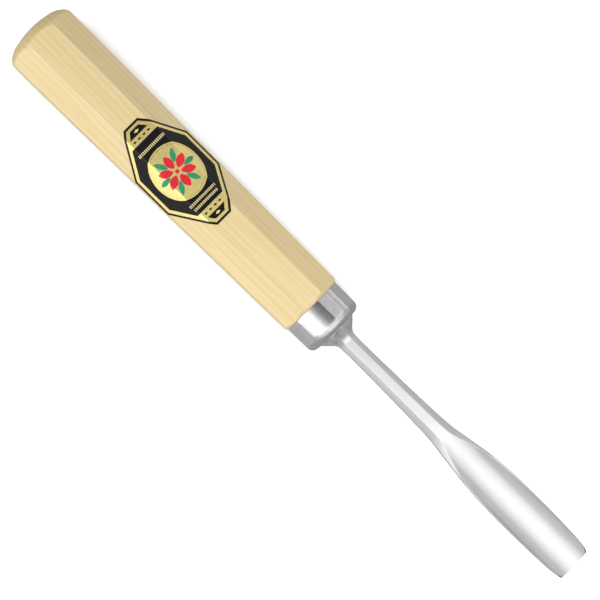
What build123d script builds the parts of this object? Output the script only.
from build123d import *
from math import acos, asin, atan, cos, degrees, radians, sin, sqrt, tan
import os

# A straight carving gouge: an octagonal wooden handle, a pressed steel ferrule, a forged
# blade with its bolster and tang, and a foil label. Millimetres. Every piece is drawn with
# the tool's axis along X, the butt's crown touching x = 0 and the flute facing +Z, and is
# laid down on the handle's lowest flat at the end.

# ---- driving dimensions ----------------------------------------------------------------
overall_length = 260.0
handle_length = 133.6  # wood that shows, from the crown to the ferrule
ferrule_length = 11.75

flats_at_butt = 26.55  # across the handle's flats, where the crown ends
flats_at_front = 23.5
crown_height = 4.2
crown_middle_radius = 36.0  # the crown is flatter in the middle
crown_middle_reach = 9.0
crown_shoulder_radius = 7.4
arris_radius = 0.6  # the long edges of the handle, broken with abrasive
crown_arris_radius = 0.35

ferrule_radius = 11.3
ferrule_wall = 1.2
ferrule_nose_radius = 2.5
ferrule_mouth_radius = 6.0  # the hole that the tang goes through
ferrule_tail_break = 0.2

bolster_half_flats = 7.35
bolster_rim = 0.25
flare_radius = 3.6  # the hollow between the bolster's cone and the shank
shank_half_flats = 3.36  # at its thinnest, just ahead of the bolster
shank_arris = 0.16  # how far each rounded corner runs along a flat

tang_length = 52.0
tang_root = 7.4  # square
tang_tip = 3.2
tang_hole_spare = 2.0  # the drilled hole runs this far past the tang

flute_radius = 7.9
flute_floor = -2.4  # below the axis, where the flute runs level
flute_slope = radians(13)  # the run-out at the shank
flute_bend_radius = 120.0
flute_level_from = 238.5
bevel_length = 4.4
edge_thickness = 0.08
station_step = 6.0  # between the blade's sections

# The blade's lines from the bolster to the bevel: (x, height or half width).
half_width_line = [
    (155.0, 3.36),
    (169.0, 3.50),
    (183.0, 3.80),
    (195.0, 4.30),
    (203.0, 5.36),
    (211.0, 6.68),
    (219.0, 7.43),
    (231.0, 7.75),
    (247.0, 7.54),
    (257.0, 7.13),
]
top_line = [
    (155.0, 3.36),
    (169.0, 3.50),
    (183.0, 3.80),
    (194.0, 4.10),
    (203.0, 4.00),
    (211.0, 3.60),
    (219.0, 3.22),
    (231.0, 2.73),
    (247.0, 2.32),
    (257.0, 2.18),
]
back_line = [(155.0, -3.36), (169.0, -3.50), (183.0, -3.80), (196.0, -4.15), (257.0, -4.20)]
rounding_from = 193.0  # the octagon's flats fade into the round back over this stretch
rounding_to = 215.0

label_length = 44.3
label_width = 30.2  # unrolled
label_end = 6.4  # the short straight edges, across the handle
label_side = 15.4  # the long straight edges, along the handle
label_middle = 69.8
label_offset = -0.4  # stuck on slightly to one side
label_thickness = 0.12

# ---- dimensions that follow ------------------------------------------------------------
octagon = tan(radians(22.5))  # half a flat's length over half the width across flats
ferrule_back = handle_length
ferrule_front = handle_length + ferrule_length
tenon_radius = ferrule_radius - ferrule_wall
tenon_end = ferrule_front - ferrule_wall
blade_root = ferrule_front
edge_x = overall_length
bevel_x = overall_length - bevel_length
taper = atan((flats_at_butt - flats_at_front) / 2 / (handle_length - crown_height))


def half_flats(x):
    """Half the handle's width across flats at x."""
    return flats_at_butt / 2 - (x - crown_height) * tan(taper)


# ---- handle ----------------------------------------------------------------------------
def tapered_octagon(x_from, x_to, grow=0.0, edge_radius=arris_radius):
    """The handle's eight flats between two stations, grown outwards by grow."""
    blank = 2 * flats_at_butt
    body = Pos((x_from + x_to) / 2, 0, 0) * Box(x_to - x_from, blank, blank)
    flat_top = Pos(x_from, 0, half_flats(x_from) + grow) * Rot(0, degrees(taper), 0)
    for k in range(8):
        body = split(body, bisect_by=Plane(Rot(45 * k, 0, 0) * flat_top), keep=Keep.BOTTOM)
    long_edges = [e for e in body.edges() if abs(e.tangent_at(0.5).X) > 0.9]
    return fillet(long_edges, edge_radius)


def tang(spare=0.0):
    """The square tapering spike; spare lengthens it for the hole that it fills."""
    slope = (tang_root - tang_tip) / tang_length
    tip_side = tang_tip - slope * spare
    root = Plane.YZ.offset(blade_root) * Rectangle(tang_root, tang_root)
    tip = Plane.YZ.offset(blade_root - tang_length - spare) * Rectangle(tip_side, tip_side)
    return loft([root, tip], ruled=True)


def turned_envelope():
    """What the lathe leaves of the octagonal blank: crown, front chamfer and tenon."""
    clear = flats_at_butt  # well outside the octagon's corners
    chamfer_radius = half_flats(handle_length) - 0.6
    chamfer_reach = (clear - chamfer_radius) / 1.3
    tenon_chamfer = 0.8
    turn = asin(crown_middle_reach / crown_middle_radius)
    last_turn = radians(84)
    shoulder_x = crown_middle_radius - (crown_middle_radius - crown_shoulder_radius) * cos(turn)
    shoulder_r = (crown_middle_radius - crown_shoulder_radius) * sin(turn)

    def on_middle(angle):
        return (crown_middle_radius * (1 - cos(angle)), crown_middle_radius * sin(angle))

    def on_shoulder(angle):
        return (
            shoulder_x - crown_shoulder_radius * cos(angle),
            shoulder_r + crown_shoulder_radius * sin(angle),
        )

    crown_end = on_shoulder(last_turn)
    crown = ThreePointArc((0, 0), on_middle(turn / 2), on_middle(turn)) + ThreePointArc(
        on_middle(turn), on_shoulder((turn + last_turn) / 2), crown_end
    )
    rest = Polyline(
        crown_end,
        (crown_end[0], clear),
        (handle_length - chamfer_reach, clear),
        (handle_length, chamfer_radius),
        (handle_length, tenon_radius),
        (tenon_end - tenon_chamfer, tenon_radius),
        (tenon_end, tenon_radius - tenon_chamfer),
        (tenon_end, 0),
        (0, 0),
    )
    return revolve(Plane.XZ * make_face(crown + rest), Axis.X)


def make_handle():
    blank = tapered_octagon(-1, tenon_end + 1)
    body = blank & turned_envelope()
    crown_edges = [
        e
        for e in body.edges()
        if crown_height * 0.6 < e.center().X < crown_height * 1.8
        and e.geom_type != GeomType.LINE
        and abs(e.tangent_at(0.5).X) < 0.9
    ]
    body = fillet(crown_edges, crown_arris_radius)
    return body - tang(tang_hole_spare)


# ---- ferrule ---------------------------------------------------------------------------
def make_ferrule():
    """A drawn steel cup with a rounded nose and a hole for the tang."""
    profile = Polyline(
        (ferrule_back, tenon_radius),
        (ferrule_back, ferrule_radius),
        (ferrule_front, ferrule_radius),
        (ferrule_front, ferrule_mouth_radius),
        (tenon_end, ferrule_mouth_radius),
        (tenon_end, tenon_radius),
        close=True,
    )
    cup = revolve(Plane.XZ * make_face(profile), Axis.X)
    rims = [
        e
        for e in cup.edges().filter_by(GeomType.CIRCLE)
        if abs(e.radius - ferrule_radius) < 1e-6
    ]
    nose = max(rims, key=lambda e: e.center().X)
    cup = fillet(nose, ferrule_nose_radius)
    tail = [
        e
        for e in cup.edges().filter_by(GeomType.CIRCLE)
        if abs(e.center().X - ferrule_back) < 1e-6 and abs(e.radius - ferrule_radius) < 1e-6
    ]
    return chamfer(tail, ferrule_tail_break)


# ---- blade -----------------------------------------------------------------------------
flat_crown = 0.03  # the ground flats are very slightly full
rim_drop = 0.70  # height of the steep slope outside each of the flute's two rims


def along(line, x):
    """The value at x of a smooth curve through the line's points."""
    slopes = [(b[1] - a[1]) / (b[0] - a[0]) for a, b in zip(line, line[1:])]
    leaning = [slopes[0]] + [(m + n) / 2 for m, n in zip(slopes, slopes[1:])] + [slopes[-1]]
    for i, ((x0, y0), (x1, y1)) in enumerate(zip(line, line[1:])):
        if x <= x1 or i == len(line) - 2:
            span = x1 - x0
            t = (x - x0) / span
            swing = span * t * (1 - t) * (leaning[i] * (1 - t) - leaning[i + 1] * t)
            return y0 + (y1 - y0) * t * t * (3 - 2 * t) + swing


def octagon_half(half_width, top, back):
    """Right half of the shank's section, as arcs of (start, middle) from the top's middle
    round to the back's middle: flats and rounded corners in turn."""
    corner = shank_arris / half_width
    crown = flat_crown / half_width
    points = [
        (Vector(0, 1 + crown), Vector((octagon - corner) / 2, 1 + 0.75 * crown)),
    ]
    for k in range(4):
        turn = radians(45 * k)
        out = Vector(sin(turn), cos(turn))
        clockwise = Vector(cos(turn), -sin(turn))
        half_turn = radians(45 * k + 22.5)
        tip = Vector(sin(half_turn), cos(half_turn)) * (1 / cos(radians(22.5)) - 0.2 * corner)
        points.append((out + clockwise * (octagon - corner), tip))
        turn = radians(45 * (k + 1))
        out = Vector(sin(turn), cos(turn))
        clockwise = Vector(cos(turn), -sin(turn))
        points.append((out - clockwise * (octagon - corner), out * (1 + crown)))
    points[-1] = (points[-1][0], Vector((octagon - corner) / 2, -1 - 0.75 * crown))
    height, middle = (top - back) / 2, (top + back) / 2

    def placed(p):
        return Vector(p.X * half_width, p.Y * height + middle)

    return [(placed(a), placed(b)) for a, b in points]


def gouge_half(half_width, top, back):
    """The same run of arcs on the blade's section: a rim, then one circle to the back."""
    rim_y = top - rim_drop
    radius = ((rim_y - back) ** 2 + half_width**2) / (2 * (rim_y - back))
    centre = back + radius
    sweep_angle = acos((centre - rim_y) / radius)

    def on_circle(share):
        turn = sweep_angle * share
        return Vector(radius * sin(turn), centre - radius * cos(turn))

    rim = [
        (Vector(0, top + flat_crown), Vector(half_width / 2, top + 0.75 * flat_crown)),
        (Vector(half_width - 0.34, top), Vector(half_width - 0.325, top - 0.008)),
        (Vector(half_width - 0.31, top - 0.03), Vector(half_width - 0.20, top - 0.26)),
        (Vector(half_width - 0.08, top - 0.52), Vector(half_width - 0.03, top - 0.61)),
    ]
    shares = [1.0, 0.68, 0.58, 0.26, 0.16, 0.0]
    return rim + [(on_circle(a), on_circle((a + b) / 2)) for a, b in zip(shares, shares[1:])]


def blade_section(x, half_width, top, back):
    """The section at x, on its way from the shank's octagon to the blade's round back."""
    share = min(max((x - rounding_from) / (rounding_to - rounding_from), 0.0), 1.0)
    share = share * share * (3 - 2 * share)
    right = [
        (a * (1 - share) + c * share, b * (1 - share) + d * share)
        for (a, b), (c, d) in zip(
            octagon_half(half_width, top, back), gouge_half(half_width, top, back)
        )
    ]
    starts = [start for start, _ in right]
    ends = starts[1:] + [Vector(0, back - flat_crown * (1 - share))]
    arcs = [ThreePointArc(p, m, q) for p, (_, m), q in zip(starts, right, ends)]
    half = make_face(Wire(arcs + [Line(ends[-1], starts[0])]))
    return Plane.YZ.offset(x) * (half + mirror(half, Plane.YZ))


def section_at(x):
    return blade_section(
        x, along(half_width_line, x), along(top_line, x), along(back_line, x)
    )


def make_bolster():
    """The octagonal cone that seats on the ferrule, hollowed into the shank."""
    tangent_rise = flare_radius * (1 - cos(radians(45)))
    tangent_run = flare_radius * sin(radians(45))
    cone_foot = shank_half_flats + tangent_rise
    rim_end = blade_root + bolster_rim
    cone_end = rim_end + bolster_half_flats - cone_foot
    hollow_end = cone_end + tangent_run
    start = (cone_end, cone_foot)
    middle = (
        hollow_end - flare_radius * sin(radians(22.5)),
        shank_half_flats + flare_radius * (1 - cos(radians(22.5))),
    )
    end = (hollow_end, shank_half_flats)
    last_x = half_width_line[0][0]
    outline = (
        Polyline((last_x, 0), (blade_root, 0), (blade_root, bolster_half_flats),
                 (rim_end, bolster_half_flats), start)
        + ThreePointArc(start, middle, end)
        + Polyline(end, (last_x, shank_half_flats), (last_x, 0))
    )
    half = Plane.XZ * make_face(outline)
    slab = extrude(half, 3 * bolster_half_flats, both=True)
    slab += mirror(slab, Plane.XY)
    body = slab
    for turn in (45, 90, 135):
        body = body & (Rot(turn, 0, 0) * slab)
    return body


def flute_cutter():
    """A bar of the flute's radius along its floor: down the run-out, round, then level."""
    centre_z = flute_floor + flute_radius
    bend = flute_bend_radius - flute_radius
    bend_start = (
        flute_level_from - bend * sin(flute_slope),
        centre_z + bend * (1 - cos(flute_slope)),
    )
    bend_middle = (
        flute_level_from - bend * sin(flute_slope / 2),
        centre_z + bend * (1 - cos(flute_slope / 2)),
    )
    bend_end = (flute_level_from, centre_z)
    run_out = 40.0
    top = (
        bend_start[0] - run_out * cos(flute_slope),
        bend_start[1] + run_out * sin(flute_slope),
    )
    past_edge = (edge_x + 5, centre_z)
    path = Plane.XZ * (
        Line(top, bend_start)
        + ThreePointArc(bend_start, bend_middle, bend_end)
        + Line(bend_end, past_edge)
    )
    start_plane = Plane(origin=path @ 0, z_dir=path % 0)
    return sweep(start_plane * Circle(flute_radius), path=path)


def tip_waste():
    """What grinding takes off the end: two rounded corners and a slightly full edge."""
    out = 2 * flute_radius
    corner_from = (edge_x - 5.0, 7.2)
    corner_middle = (edge_x - 1.9, 6.6)
    corner_to = (edge_x - 0.8, 6.0)

    def other(p):
        return (p[0], -p[1])

    outline = (
        Polyline(other(corner_from), (corner_from[0], -out), (edge_x + 2, -out),
                 (edge_x + 2, out), (corner_from[0], out), corner_from)
        + ThreePointArc(corner_from, corner_middle, corner_to)
        + ThreePointArc(corner_to, (edge_x, 0), other(corner_to))
        + ThreePointArc(other(corner_to), other(corner_middle), other(corner_from))
    )
    return extrude(make_face(outline), out, both=True)


def make_blade():
    """One forging: tang, bolster, shank and gouge."""
    first = half_width_line[0][0]
    steps = round((bevel_x - first) / station_step)
    stations = [first + (bevel_x - first) * i / steps for i in range(steps + 1)]
    shank = loft([section_at(x) for x in stations], ruled=True)
    edge_top = along(top_line, edge_x)
    centre = flute_floor + flute_radius
    outside = flute_radius + edge_thickness
    edge_half_width = sqrt(outside**2 - (centre - (edge_top - rim_drop)) ** 2)
    edge = blade_section(edge_x, edge_half_width, edge_top, centre - outside)
    bevel = loft([section_at(bevel_x), edge], ruled=True)
    body = make_bolster() + shank + bevel
    body = body - flute_cutter() - tip_waste()
    return body + tang()


# ---- label -----------------------------------------------------------------------------
def make_label():
    """A foil sheet bent over the top flat and the two beside it."""
    near, far = label_middle - label_length / 2, label_middle + label_length / 2
    sheet = tapered_octagon(
        near - 1, far + 1, label_thickness, arris_radius + label_thickness
    ) - tapered_octagon(near - 2, far + 2)

    def plan(along, across):
        """A point of the flat label, seen from above once it is bent over the flats."""
        x = label_middle + along
        fold = half_flats(x) * octagon
        y = across + label_offset
        over = max(abs(y) - fold, 0.0)
        bent = min(abs(y), fold) + over * cos(radians(45))
        return (x, bent if y > 0 else -bent)

    half_length, half_width = label_length / 2, label_width / 2
    half_end, half_side = label_end / 2, label_side / 2

    def slanted(along_sign, across_sign):
        """A slanted edge from the label's end to its side, with the point at the fold."""
        fold = half_flats(label_middle) * octagon - across_sign * label_offset
        share = (fold - half_end) / (half_width - half_end)
        at_fold = half_length + (half_side - half_length) * share
        return [
            plan(along_sign * half_length, across_sign * half_end),
            plan(along_sign * at_fold, across_sign * fold),
            plan(along_sign * half_side, across_sign * half_width),
        ]

    outline = (
        slanted(1, 1)
        + list(reversed(slanted(-1, 1)))
        + slanted(-1, -1)
        + list(reversed(slanted(1, -1)))
    )
    cookie = extrude(make_face(Polyline(*outline, close=True)), flats_at_butt)
    return sheet & cookie


# ---- laying the tool down --------------------------------------------------------------
pieces = {
    "handle": make_handle(),
    "ferrule": make_ferrule(),
    "blade": make_blade(),
    "label": make_label(),
}
laid = {name: Rot(0, degrees(taper), 0) * shape for name, shape in pieces.items()}
box = Compound(children=[s.solid() if s.solid() else s for s in laid.values()]).bounding_box()
down = Pos(-box.center().X, -box.center().Y, -box.min.Z)

os.makedirs("parts", exist_ok=True)
for name, shape in laid.items():
    placed = down * shape
    export_step(placed, f"parts/{name}.step")
    print(name, len(placed.solids()), round(placed.volume, 1), placed.bounding_box())
print("axis tilt", degrees(taper), "shift", down.position)
